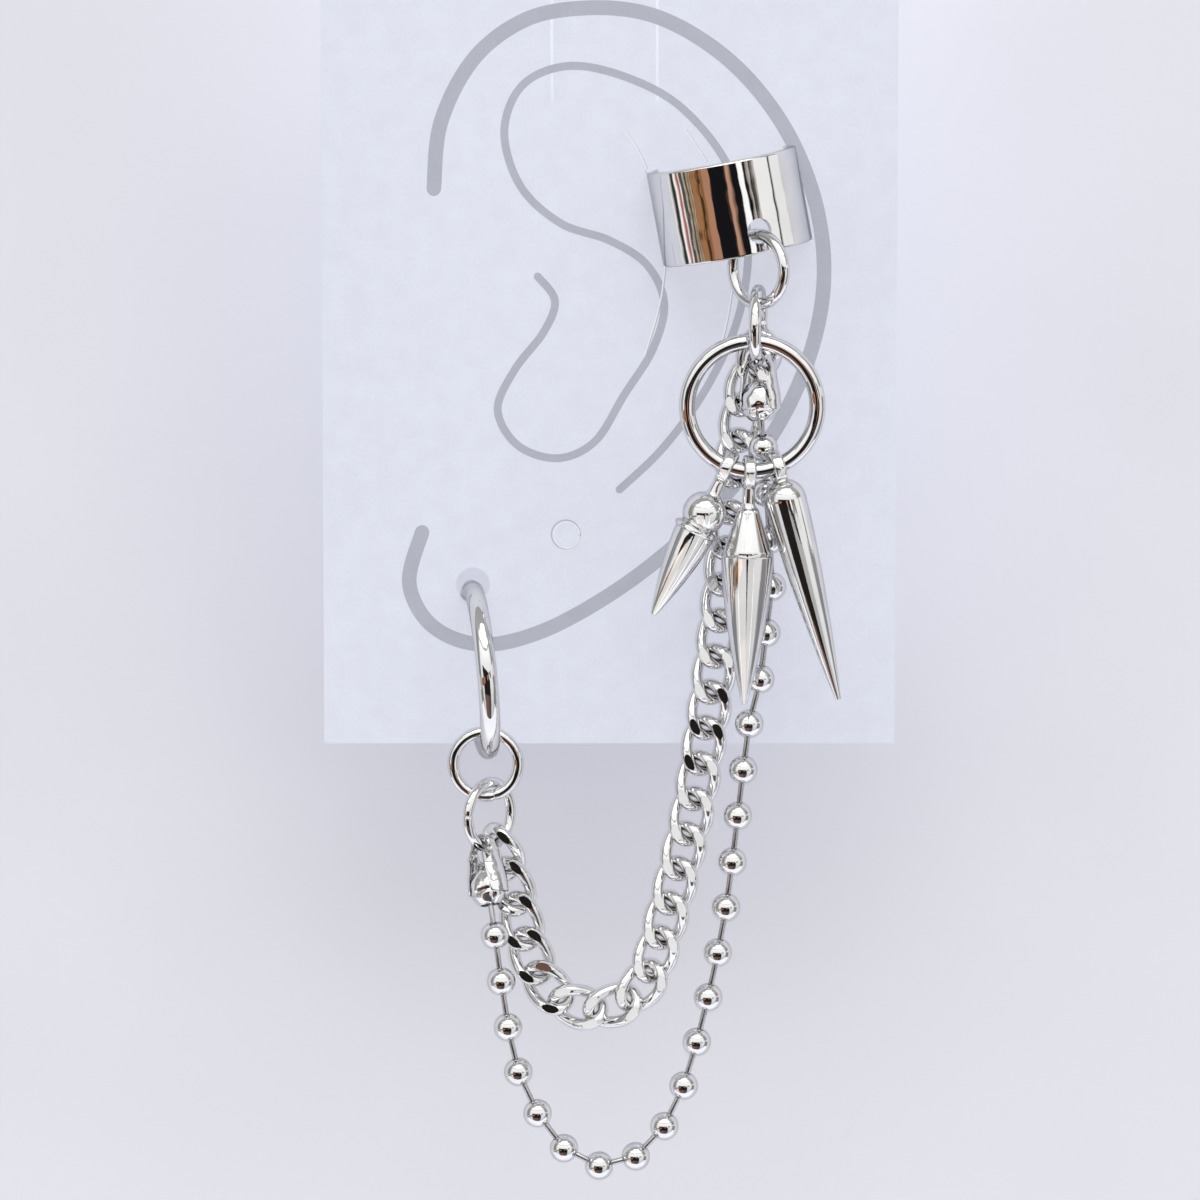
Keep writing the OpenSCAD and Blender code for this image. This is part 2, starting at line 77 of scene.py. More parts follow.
def noise_node(nodes, links, coords, scale, detail, rough=0.55):
    tex = nodes.new("ShaderNodeTexNoise")
    tex.inputs["Scale"].default_value = scale
    tex.inputs["Detail"].default_value = detail
    tex.inputs["Roughness"].default_value = rough
    links.new(coords, tex.inputs["Vector"])
    return tex.outputs["Fac"]


def ramp_node(nodes, links, value, stops):
    """Colours by a value. stops lists (value, colour)."""
    ramp = nodes.new("ShaderNodeValToRGB")
    elements = ramp.color_ramp.elements
    while len(elements) < len(stops):
        elements.new(0.5)
    for element, (pos, colour) in zip(elements, stops):
        element.position = pos
        element.color = (*colour, 1)
    links.new(value, ramp.inputs["Fac"])
    return ramp.outputs["Color"]


def grey_ramp(nodes, links, value, low, high):
    """Grey from low to high, over the middle of a noise's range."""
    return ramp_node(nodes, links, value, [(0.3, (low,) * 3), (0.7, (high,) * 3)])


def range_node(nodes, links, value, before, after):
    """Turns the range before, (low, high), into the range after."""
    node = nodes.new("ShaderNodeMapRange")
    node.inputs["From Min"].default_value, node.inputs["From Max"].default_value = before
    node.inputs["To Min"].default_value, node.inputs["To Max"].default_value = after
    links.new(value, node.inputs["Value"])
    return node.outputs["Result"]


def bump_chain(nodes, links, shader, layers):
    """Stacks bumps: [(height socket, depth in mm)]."""
    last = None
    for height, depth in layers:
        bump = nodes.new("ShaderNodeBump")
        bump.inputs["Strength"].default_value = 1.0
        bump.inputs["Distance"].default_value = depth * MM
        links.new(height, bump.inputs["Height"])
        if last:
            links.new(last, bump.inputs["Normal"])
        last = bump.outputs["Normal"]
    links.new(last, shader.inputs["Normal"])


# What polished plating gives back where it is seen at a glancing angle, made grey: painted shade
# that darkens the metal's rims in place of the shaded surroundings that they mirror
RIM_SHADE_TINT = (0.58, 0.58, 0.60, 1)


def silver_material(name, tone, rough, wave, pits, lines=None):
    """Polished plating: tone and roughness drift a little, and the surface
    has a slow wave, fine pits and, where it was ground, fine lines. wave,
    pits and lines are depths in millimetres."""
    mat, nodes, links, shader = new_material(name)
    shader.inputs["Metallic"].default_value = 1.0
    # The grey tint paints shade on every rim that is seen at a glancing angle
    shader.inputs["Specular Tint"].default_value = RIM_SHADE_TINT
    coords = nodes.new("ShaderNodeTexCoord").outputs["Object"]
    slow = noise_node(nodes, links, coords, 380, 1)
    fine = noise_node(nodes, links, coords, 5200, 1)
    dark = tuple(c * 0.93 for c in tone)
    colour = ramp_node(nodes, links, slow, [(0.3, dark), (0.7, tone)])
    links.new(colour, shader.inputs["Base Color"])
    patch = noise_node(nodes, links, coords, 900, 1, 0.7)
    links.new(range_node(nodes, links, patch, (0.35, 0.75), rough), shader.inputs["Roughness"])
    layers = [(slow, wave), (fine, pits)]
    if lines:
        stretch = nodes.new("ShaderNodeMapping")
        stretch.inputs["Scale"].default_value = (1, 1, 0.15)
        links.new(coords, stretch.inputs["Vector"])
        layers.append((noise_node(nodes, links, stretch.outputs["Vector"], 6000, 2), lines))
    bump_chain(nodes, links, shader, layers)
    return mat


SILVER = (0.845, 0.84, 0.832)
silver_sheet = silver_material("silver_sheet", SILVER, (0.015, 0.045), 0.055, 0.0004)
silver_wire = silver_material("silver_wire", SILVER, (0.03, 0.09), 0.018, 0.0009)
silver_cast = silver_material("silver_cast", SILVER, (0.03, 0.1), 0.022, 0.0014)
silver_link = silver_material("silver_link", SILVER, (0.03, 0.09), 0.016, 0.001)
silver_flat = silver_material("silver_flat", (0.76, 0.757, 0.75), (0.05, 0.12), 0.006, 0.0006,
                              lines=0.0006)
silver_bead = silver_material("silver_bead", SILVER, (0.03, 0.08), 0.012, 0.0007)
silver_pin = silver_material("silver_pin", (0.60, 0.60, 0.61), (0.2, 0.32), 0.01, 0.002)


def board_material(name, tone, grain=1.0, gloss=0.35):
    """Smooth board, ink on it, or painted highlight and shadow on it: fine fibres, soft mottling
    and a dull coat.
    """
    mat, nodes, links, shader = new_material(name)
    coords = nodes.new("ShaderNodeTexCoord").outputs["Object"]
    fibre = noise_node(nodes, links, coords, 4200, 2, 0.65)
    mottle = noise_node(nodes, links, coords, 650, 1)
    cloud = noise_node(nodes, links, coords, 60, 0)
    mix = nodes.new("ShaderNodeMix")
    mix.data_type = "FLOAT"
    mix.inputs["Factor"].default_value = 0.45
    links.new(fibre, mix.inputs["A"])
    links.new(mottle, mix.inputs["B"])
    low = tuple(c * (1 - 0.055 * grain) for c in tone)
    colour = ramp_node(nodes, links, mix.outputs["Result"], [(0.33, low), (0.66, tone)])
    shade = nodes.new("ShaderNodeMix")
    shade.data_type = "RGBA"
    shade.blend_type = "MULTIPLY"
    shade.inputs["Factor"].default_value = 0.35
    links.new(colour, shade.inputs["A"])
    links.new(grey_ramp(nodes, links, cloud, 0.94, 1.0), shade.inputs["B"])
    links.new(shade.outputs["Result"], shader.inputs["Base Color"])
    links.new(grey_ramp(nodes, links, mottle, 0.62, 0.78), shader.inputs["Roughness"])
    shader.inputs["Specular IOR Level"].default_value = gloss
    bump_chain(nodes, links, shader, [(mix.outputs["Result"], 0.014)])
    return mat


def paper_material(name, tone):
    """Plain dull paper, the tone of which drifts slowly. The back of the
    sweep is clear, so that it never hides the part."""
    mat, nodes, links, shader = new_material(name)
    coords = nodes.new("ShaderNodeTexCoord").outputs["Object"]
    drift = noise_node(nodes, links, coords, 45, 1)
    low = tuple(c * 0.97 for c in tone)
    colour = ramp_node(nodes, links, drift, [(0.3, low), (0.7, tone)])
    links.new(colour, shader.inputs["Base Color"])
    links.new(grey_ramp(nodes, links, drift, 0.8, 0.9), shader.inputs["Roughness"])
    shader.inputs["Specular IOR Level"].default_value = 0.1
    clear = nodes.new("ShaderNodeBsdfTransparent")
    both = nodes.new("ShaderNodeMixShader")
    links.new(nodes.new("ShaderNodeNewGeometry").outputs["Backfacing"], both.inputs["Fac"])
    links.new(shader.outputs["BSDF"], both.inputs[1])
    links.new(clear.outputs["BSDF"], both.inputs[2])
    links.new(both.outputs["Shader"], nodes["Material Output"].inputs["Surface"])
    return mat


board = board_material("white_board", (0.80, 0.835, 0.94))
ink = board_material("grey_ink", (0.49, 0.51, 0.59), 1.6, 0.3)
# Painted light for the card's cuts and punch: a bright painted highlight and a dark painted shadow
cut_painted_highlight = board_material("cut_edge_painted_highlight", (0.93, 0.94, 0.98), 0.4, 0.3)
cut_painted_shadow = board_material("cut_edge_painted_shadow", (0.52, 0.54, 0.62), 0.8, 0.2)
wall = paper_material("backdrop_paper", (0.80, 0.805, 0.86))


# Meshes


def add_piece(name, verts, faces, materials, face_slots=None):
    """Makes a smooth piece of points in millimetres."""
    mesh = bpy.data.meshes.new(name)
    mesh.from_pydata([tuple(Vector(v) * MM) for v in verts], [], faces)
    for mat in materials:
        mesh.materials.append(mat)
    if face_slots:
        mesh.polygons.foreach_set("material_index", face_slots)
    mesh.shade_smooth()
    mesh.update()
    obj = bpy.data.objects.new(name, mesh)
    bpy.context.scene.collection.objects.link(obj)
    return obj


def take(obj, body, slot, *replaced):
    """Hands a piece to its body. Metal is left out of soft bounced light, so
    that it doesn't darken the card."""
    obj.visible_diffuse = slot == CARD
    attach(obj, body)
    if replaced:
        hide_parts(*replaced)


class Build:
    """Collects closed shapes into one mesh."""

    def __init__(self):
        self.verts, self.faces = [], []

    def grid(self, rows, wrap_rows=False):
        """Rows of equally many points, each row closed on itself. The ends
        are capped with a fan unless the rows wrap round as well."""
        base, n = len(self.verts), len(rows[0])
        for row in rows:
            self.verts.extend(Vector(p) for p in row)
        count = len(rows)
        for i in range(count if wrap_rows else count - 1):
            a, b = base + i * n, base + (i + 1) % count * n
            for j in range(n):
                k = (j + 1) % n
                self.faces.append((a + j, a + k, b + k, b + j))
        if not wrap_rows:
            self.faces.append(tuple(base + j for j in reversed(range(n))))
            self.faces.append(tuple(base + (count - 1) * n + j for j in range(n)))
        return self

    def join(self, other, matrix=None):
        """Takes in the shapes of another Build."""
        base = len(self.verts)
        self.verts.extend((matrix @ v if matrix else v) for v in other.verts)
        self.faces.extend(tuple(base + i for i in face) for face in other.faces)
        return self

    def moved(self, matrix):
        return Build().join(self, matrix)

    def piece(self, name, material, smooth_angle=35):
        obj = add_piece(name, self.verts, self.faces, [material])
        sharpen(obj, smooth_angle)
        return obj


def sharpen(obj, angle):
    """Marks edges over an angle as sharp, and turns the faces outwards."""
    bm = bmesh.new()
    bm.from_mesh(obj.data)
    bmesh.ops.recalc_face_normals(bm, faces=bm.faces)
    for edge in bm.edges:
        if len(edge.link_faces) == 2 and edge.calc_face_angle() > radians(angle):
            edge.smooth = False
    bm.to_mesh(obj.data)
    bm.free()


def lathe(profile, segments=96):
    """Turns [(radius, height)] round Z. Rows run from one end to the other."""
    rows = [[(r * cos(2 * pi * j / segments), r * sin(2 * pi * j / segments), z)
             for j in range(segments)] for r, z in profile]
    return Build().grid(rows)


def placed(origin, axis_x, axis_y, axis_z):
    """A frame at origin with the three axes given."""
    m = Matrix((axis_x, axis_y, axis_z)).transposed().to_4x4()
    m.translation = origin
    return m


def towards(start, end, roll=Vector((0, -1, 0))):
    """A frame at start with Z towards end and X near the roll direction."""
    z = (end - start).normalized()
    x = (roll - roll.dot(z) * z).normalized()
    return placed(start, x, z.cross(x), z)


def round_section(d, sides):
    """A round wire's (out, across) points."""
    return [(d / 2 * cos(2 * pi * j / sides), d / 2 * sin(2 * pi * j / sides))
            for j in range(sides)]


def ring_row(r, section, angle, size=1.0):
    """One row of a ring about Y in the XZ plane, at an angle in degrees from
    the bottom towards +X. section gives (out, across) points."""
    a = radians(angle)
    out = Vector((sin(a), 0, -cos(a)))
    return [out * (r + u * size) + Vector((0, v * size, 0)) for u, v in section]


# What the CAD nodes say


def loose_parts(node):
    """The loose solids of a node as triangle arrays, in millimetres."""
    bm = bmesh.new()
    bm.from_mesh(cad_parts[node].data)
    bmesh.ops.remove_doubles(bm, verts=bm.verts, dist=1e-7)
    bmesh.ops.triangulate(bm, faces=bm.faces)
    bm.verts.ensure_lookup_table()
    seen, parts = set(), []
    for seed in bm.verts:
        if seed.index in seen:
            continue
        stack, faces = [seed], set()
        seen.add(seed.index)
        while stack:
            v = stack.pop()
            faces.update(v.link_faces)
            for e in v.link_edges:
                w = e.other_vert(v)
                if w.index not in seen:
                    seen.add(w.index)
                    stack.append(w)
        if faces:
            parts.append(np.array([[tuple(v.co / MM) for v in f.verts] for f in faces]))
    bm.free()
    return parts


def moments(tris):
    """Middle of a surface and its axes, the one of least spread first."""
    a, b, c = tris[:, 0], tris[:, 1], tris[:, 2]
    area = np.linalg.norm(np.cross(b - a, c - a), axis=1) / 2
    mid = (a + b + c) / 3
    centre = (area[:, None] * mid).sum(0) / area.sum()
    cov = np.zeros((3, 3))
    for pts, weight in ((a, 1), (b, 1), (c, 1), (mid, 9)):
        q = pts - centre
        cov += weight / 12 * np.einsum("n,ni,nj->ij", area, q, q)
    axes = np.linalg.eigh(cov)[1].T
    return Vector(centre), [Vector(v) for v in axes]


def in_order(items, start, where):
    """Sorts along a chain: from the item nearest start to its next neighbour."""
    rest, here, found = list(items), Vector(start), []
    while rest:
        nearest = min(rest, key=lambda item: (where(item) - here).length)
        rest.remove(nearest)
        found.append(nearest)
        here = where(nearest)
    return found


def ring_of(node):
    """Middle, axis, radius to the middle of the wire and wire of a ring."""
    tris = loose_parts(node)[0]
    centre, axes = moments(tris)
    axis = axes[0] if axes[0].y < 0 else -axes[0]
    points = tris.reshape(-1, 3) - np.array(centre)
    along = points @ np.array(axis)
    across = np.linalg.norm(points - along[:, None] * np.array(axis), axis=1)
    wire = along.max() - along.min()
    return centre, axis, float(across.max() - wire / 2), float(wire)


def ring_frame(centre, axis):
    """Where a ring made of ring_row() goes: its Y is the ring's back."""
    y = -axis
    z = (Vector((0, 0, 1)) - y * y.z).normalized()
    return placed(centre, y.cross(z), y, z)


# Jump rings

# SEAM is the gap between a ring's two ends. TRIM comes off the wire, so that
# a ring this round stays inside the box of the CAD's faceted one
SEAM, TRIM = 0.04, 0.008


def jump_ring(name, node, body, seam_at, thicker=0.0):
    """A ring of round wire, closed end to end with a fine seam, next to
    which the cut wire is drawn in a little."""
    centre, axis, r, wire = ring_of(node)
    gap = degrees(SEAM / r)
    steps, lip = 168, 3
    section = round_section(wire - TRIM + thicker, 28)
    rows = []
    for i in range(steps + 1):
        size = 0.9 + 0.1 * min(1.0, min(i, steps - i) / lip)
        angle = seam_at + gap / 2 + (360 - gap) * i / steps
        rows.append(ring_row(r, section, angle, size))
    ring = Build().grid(rows).moved(ring_frame(centre, axis))
    take(ring.piece(name, silver_wire), body, JEWEL, node)


jump_ring("jump_ring_cuff", "cuff_ring", BODY, 200)
jump_ring("jump_ring_link", "link_ring", BODY, 95)
jump_ring("jump_ring_hoop_upper", "hoop_ring_upper", BODY, 15, thicker=0.08)
jump_ring("jump_ring_hoop_lower", "hoop_ring_lower", BODY, 265)
jump_ring("pendant_large_ring", "large_ring", "pendant_ring", 182, thicker=0.12)


# Ear cuff

# Middle, sizes and lean of the cuff. soft rounds its edges, and the hole is
# drilled hole_low under the middle and hole_turn degrees to the right
CUFF = dict(at=Vector((8.3, -1.2, -18.75)), d=10.5, h=6.6, t=0.6, open=100, lean=10.5,
            soft=0.16, hole_d=1.75, hole_turn=19, hole_low=1.75)


def cuff_band():
    """The C of sheet metal, upright and with soft edges, before drilling."""
    outer, inner = CUFF["d"] / 2, CUFF["d"] / 2 - CUFF["t"]
    half, soft = CUFF["h"] / 2, CUFF["soft"]
    profile = []
    for cx, cz, a0 in ((outer - soft, half - soft, 0), (inner + soft, half - soft, 90),
                       (inner + soft, soft - half, 180), (outer - soft, soft - half, 270)):
        for i in range(7):
            a = radians(a0 + 90 * i / 6)
            profile.append((cx + soft * cos(a), cz + soft * sin(a)))
    sweep, steps = 360 - CUFF["open"], 260
    rows = []
    for i in range(steps + 1):
        a = radians(-90 - sweep / 2 + sweep * i / steps)
        end = min(i, steps - i)
        # The last three rows at each end are drawn in, so that it looks soft
        draw = 1 - 0.012 * max(0, 3 - end)
        rows.append([(r * cos(a), r * sin(a), z * draw) for r, z in profile])
    return Build().grid(rows)


def drill(obj, matrix, d, depth):
    """Cuts a round hole along the matrix's Z with an exact boolean."""
    cutter = lathe([(d / 2, 0), (d / 2, depth)], 72).moved(matrix)
    tool = cutter.piece("cutter", silver_sheet)
    mod = obj.modifiers.new("drill", "BOOLEAN")
    mod.operation, mod.solver, mod.object = "DIFFERENCE", "EXACT", tool
    mesh = bpy.data.meshes.new_from_object(
        obj.evaluated_get(bpy.context.evaluated_depsgraph_get()))
    obj.modifiers.clear()
    obj.data = mesh
    bpy.data.objects.remove(tool)


def cuff_normal(poly, co):
    """The true normal at a corner of the upright cuff. The boolean leaves
    large faces, which would shade badly with averaged normals."""
    outer, soft = CUFF["d"] / 2, CUFF["soft"]
    radial = Vector((co.x, co.y, 0)).normalized()
    facing = poly.normal.dot(radial)
    if abs(facing) > 0.985 and abs(poly.normal.z) < 0.02:
        return radial * (1 if facing > 0 else -1)
    if poly.normal.xy.length < 0.999 and abs(co.z) > CUFF["h"] / 2 - soft - 0.04:
        middle = min(max(co.xy.length, outer - CUFF["t"] + soft), outer - soft)
        edge = Vector((0, 0, co.z)).normalized()
        way = co - radial * middle - edge * (CUFF["h"] / 2 - soft)
        if way.length > 0.01:
            return way.normalized()
    return poly.normal.copy()


def make_cuff():
    """Drills the band, sets its normals and leans it on the card."""
    obj = cuff_band().piece("cuff_band", silver_sheet, 50)
    turn = radians(CUFF["hole_turn"])
    way = Vector((sin(turn), -cos(turn), 0))
    middle = Vector((0, 0, -CUFF["hole_low"]))
    drill(obj, towards(middle + way * 2, middle + way * 6, Vector((0, 0, 1))), CUFF["hole_d"], 6)
    mesh = obj.data
    mesh.shade_smooth()
    mesh.normals_split_custom_set([
        tuple(cuff_normal(poly, mesh.vertices[mesh.loops[i].vertex_index].co / MM))
        for poly in mesh.polygons for i in poly.loop_indices])
    mesh.transform(Matrix.Translation(CUFF["at"] * MM)
                   @ Matrix.Rotation(radians(-CUFF["lean"]), 4, "Y"))
    mesh.update()
    take(obj, BODY, JEWEL, "ear_cuff")


make_cuff()


# Spikes

# A spike is made with the large ring's wire at the origin and its tip down.
# Heights in its outline are distances under the wire
LARGE_CENTRE, _, LARGE_R, _ = ring_of("large_ring")
LARGE_WIRE, EYE_PLAY = 1.0, 0.18
EYE_BORE, EYE_T, EYE_W = 1.55, 0.42, 0.85
EYE_LOW = (EYE_BORE - LARGE_WIRE) / 2 - EYE_PLAY
EYE_BOTTOM = EYE_LOW + EYE_BORE / 2 + EYE_T / 2
TIP_R, BLADE_POWER = 0.2, 1.6
SHORT_L, MIDDLE_L, LONG_L = 11.5, 16.2, 16.8


def eye(turn):
    """The cast eye: a flat strap with round edges, bent round the wire."""
    half_w, half_t = EYE_W / 2, EYE_T / 2
    section = []
    for side in (1, -1):
        for i in range(9):
            a = radians(90 * (1 - side) + 180 * i / 8)
            section.append((half_t * cos(a), side * (half_w - half_t) + half_t * sin(a)))
    rows = [ring_row((EYE_BORE + EYE_T) / 2, section, 360 * i / 80) for i in range(80)]
    place = Matrix.Translation((0, 0, -EYE_LOW)) @ Matrix.Rotation(radians(90 + turn), 4, "Z")
    return Build().grid(rows, wrap_rows=True).moved(place)


def smooth_rows(rows, steps):
    """Catmull-Rom through (radius, depth) rows."""
    out = []
    for i in range(len(rows) - 1):
        p = [Vector(rows[k]) for k in (max(i - 1, 0), i, i + 1, min(i + 2, len(rows) - 1))]
        for j in range(steps):
            t = j / steps
            out.append(0.5 * (2 * p[1] + (p[2] - p[0]) * t
                              + (2 * p[0] - 5 * p[1] + 4 * p[2] - p[3]) * t * t
                              + (3 * p[1] - p[0] - 3 * p[2] + p[3]) * t ** 3))
    out.append(Vector(rows[-1]))
    return [(v.x, v.y) for v in out]


def blade(r, start, end, steps=40):
    """Outline of a cone that bulges a little on its way to a blunt tip."""
    side = [(TIP_R + (r - TIP_R) * (1 - (i / steps) ** BLADE_POWER),
             start + (end - TIP_R / 2 - start) * i / steps) for i in range(steps)]
    cap = [(TIP_R * cos(a), end - TIP_R / 2 + TIP_R / 2 * sin(a))
           for a in [pi / 2 * k / 8 for k in range(8)]]
    return side + cap + [(0.01, end)]


def down(profile):
    """Turns (radius, depth) into (radius, height) for lathe()."""
    return [(max(r, 0.004), -z) for r, z in profile]


def arc(r, middle, a0, a1, steps):
    """Part of a ball's outline. Angles are from the top, in degrees."""
    return [(r * sin(radians(a)), middle - r * cos(radians(a)))
            for a in [a0 + (a1 - a0) * i / steps for i in range(steps + 1)]]


def spike_frame(place, lean):
    """Where a spike's eye hangs on the large ring, and how it leans."""
    a = radians(place)
    at = LARGE_CENTRE + LARGE_R * Vector((sin(a), 0, -cos(a)))
    return Matrix.Translation(at) @ Matrix.Rotation(radians(lean), 4, "Y")


def spike(name, node, body, place, lean, turn, shapes):
    """place is the angle on the large ring, lean is the spike's own and turn
    is the eye's about the spike, all in degrees."""
    build = eye(turn)
    for profile in shapes:
        build.join(lathe(down(profile)))
    obj = build.moved(spike_frame(place, lean)).piece(name, silver_cast, 28)
    take(obj, body, JEWEL, node)


def short_shapes():
    """A neck and a ball, then a thin rim and a cone."""
    rim, ball_r, rim_r = SHORT_L - 6.7, 1.5, 1.55
    ball_at = rim - 0.8 * ball_r
    neck = smooth_rows([(0.42, EYE_BOTTOM - 0.1), (0.46, EYE_BOTTOM + 0.12),
                        (0.36 * ball_r, ball_at - 0.97 * ball_r),
                        (0.62 * ball_r, ball_at - 0.8 * ball_r)], 8)
    ball = neck + arc(ball_r, ball_at, 44, 148, 40)
    collar = [(1.0, rim - 0.32), (1.25, rim - 0.2), (rim_r - 0.12, rim - 0.1),
              (rim_r - 0.03, rim - 0.04), (rim_r, rim + 0.05), (rim_r, rim + 0.16),
              (rim_r - 0.04, rim + 0.23), (rim_r - 0.13, rim + 0.28)]
    return [ball, collar + blade(rim_r - 0.15, rim + 0.3, SHORT_L)]


def middle_shapes():
    """A short upper cone, a sharp crease and a long lower cone."""
    crease, r = 5.9, 1.8
    top = crease - 3.25
    upper = [(0.42, EYE_BOTTOM - 0.1), (0.43, top - 0.6), (0.47, top - 0.32),
             (0.58, top - 0.1), (0.4 * r, top + 0.03)]
    flank = [(0.4 * r + 0.6 * r * t, top + 3.25 * t) for t in [k / 20 for k in range(1, 20)]]
    edge = [(r - 0.14, crease - 0.1), (r - 0.03, crease - 0.04), (r, crease)]
    return [smooth_rows(upper, 6) + flank[:-1] + edge + blade(r, crease + 0.03, MIDDLE_L)[1:]]


def long_shapes():
    """A dome that runs out into a long cone."""
    r = 1.45
    dome_at = EYE_BOTTOM + 0.9 * r
    neck = [(0.5, EYE_BOTTOM - 0.15), (0.6, EYE_BOTTOM + 0.02)]
    return [neck + arc(r, dome_at, 26, 90, 26) + blade(r, dome_at, LONG_L)[1:]]


spike("drop_short", "spike_short", "short_drop", -22, 26.5, -8, short_shapes())
spike("drop_middle", "spike_middle", "middle_drop", -2.6, 1, 5, middle_shapes())
spike("drop_long", "spike_long", "long_drop", 22, -15, 12, long_shapes())


# Curb chain


def sight(azimuth, height):
    """The direction of an azimuth from the camera's side and a height."""
    a, e = radians(azimuth), radians(height)
    return Vector((sin(a) * cos(e), -cos(a) * cos(e), sin(e)))


# A link: half its length and width to the middle of the wire, the wire, how
# far the wire swings out of its plane, and the thickness that grinding leaves
LINK = dict(half=1.775, half_w=1.165, wire=0.86, bow=0.46, flat=1.56)

# What the two ground fronts of each link mirror, the right one first, as
# azimuth and height in degrees, from the cuff down to the hoop
LIGHT, DARK, BROWN = (-30, 16), (-12, -19), (-20, -35)
LINK_SEES = ([(LIGHT, LIGHT)] * 10 + [(DARK, DARK)] * 2 + [(LIGHT, LIGHT)] * 9
             + [(DARK, BROWN)] + [(DARK, DARK)] * 4)


def link_tube(steps=80, sides=20):
    """One twisted link before its faces are ground."""
    rows = []
    for i in range(steps):
        a = 2 * pi * i / steps
        middle = Vector((LINK["half"] * cos(a), LINK["half_w"] * sin(a),
                         -LINK["bow"] * sin(2 * a)))
        heading = Vector((-LINK["half"] * sin(a), LINK["half_w"] * cos(a),
                          -2 * LINK["bow"] * cos(2 * a))).normalized()
        out = Vector((cos(a), sin(a), 0))
        out = (out - out.dot(heading) * heading).normalized()
        up = heading.cross(out)
        rows.append([middle + LINK["wire"] / 2 * (cos(b) * out + sin(b) * up)
                     for b in [2 * pi * j / sides for j in range(sides)]])
    return Build().grid(rows, wrap_rows=True)


def ground_link():
    """A link with its front and back faces cut off flat."""
    tube = link_tube()
    bm = bmesh.new()
    for v in tube.verts:
        bm.verts.new(v)
    bm.verts.ensure_lookup_table()
    for face in tube.faces:
        bm.faces.new([bm.verts[i] for i in face])
    for side in (1, -1):
        geom = bm.verts[:] + bm.edges[:] + bm.faces[:]
        cut = bmesh.ops.bisect_plane(bm, geom=geom, dist=1e-5, clear_outer=True,
                                     plane_co=(0, 0, side * LINK["flat"] / 2),
                                     plane_no=(0, 0, side))
        rim = [e for e in cut["geom_cut"] if isinstance(e, bmesh.types.BMEdge)]
        bmesh.ops.edgeloop_fill(bm, edges=rim, mat_nr=1)
    bm.verts.index_update()
    verts = [v.co.copy() for v in bm.verts]
    faces = [tuple(v.index for v in f.verts) for f in bm.faces]
    slots = [f.material_index for f in bm.faces]
    bm.free()
    return verts, faces, slots


def link_frames():
    """Each link's middle, the way that it faces and its long axis."""
    links = []
    for tris in loose_parts("curb_chain"):
        centre, (face, _, along) = moments(tris)
        links.append((centre, face if face.y < 0 else -face, along))
    top = ring_of("link_ring")[0]
    return in_order(links, top, lambda item: item[0])


def make_curb_chain():
    """All links as one piece, each placed as the CAD's link lies."""
    verts, faces, slots, seen = [], [], [], []
    v, f, link_slots = ground_link()
    for i, (centre, face, along) in enumerate(link_frames()):
        if along.z < 0:
            along = -along
        place = placed(centre, along, face.cross(along), face)
        base = len(verts)
        verts += [place @ p for p in v]
        faces += [tuple(base + k for k in q) for q in f]
        slots += link_slots
        seen += [(face, centre.x, LINK_SEES[i])] * len(f)
    obj = add_piece("curb_links", verts, faces, [silver_link, silver_flat], face_slots=slots)
    sharpen(obj, 25)
    # Each ground front leans a little, so that it mirrors its own bit of studio
    mesh = obj.data
    normals = [n.vector.copy() for n in mesh.corner_normals]
    for poly, (face, middle, sees) in zip(mesh.polygons, seen):
        if poly.material_index == 1 and poly.normal.dot(face) > 0:
            way = sight(*sees[0 if poly.center.x / MM > middle else 1])
            lean = ((CAMERA_AT - poly.center / MM).normalized() + way).normalized()
            for k in poly.loop_indices:
                normals[k] = lean
    mesh.normals_split_custom_set([tuple(n) for n in normals])
    take(obj, BODY, JEWEL, "curb_chain")


make_curb_chain()


# Ball chain

# As in the CAD. BEAD_TRIM keeps these rounder beads inside the CAD's box, and
# SHANK_MORE thickens the pins' shanks to what the photo shows
BEAD_D, BEAD_WALL, PIN_D, PLAY = 2.0, 0.16, 0.36, 0.12
BEAD_TRIM, SHANK_MORE = 0.002, 0.03
BORE_D = PIN_D + 2 * PLAY
PIN_HEAD = 1.08 * BORE_D
PIN_HEAD_IN = BEAD_D / 2 - BEAD_WALL - 0.9 * PLAY - PIN_HEAD / 2


def bead_middles():
    """The middles of the CAD's beads, from the link ring on."""
    found = []
    for tris in loose_parts("ball_chain_beads"):
        points = tris.reshape(-1, 3)
        found.append(Vector((points.min(0) + points.max(0)) / 2))
    return in_order(found, ring_of("link_ring")[0], lambda p: p)


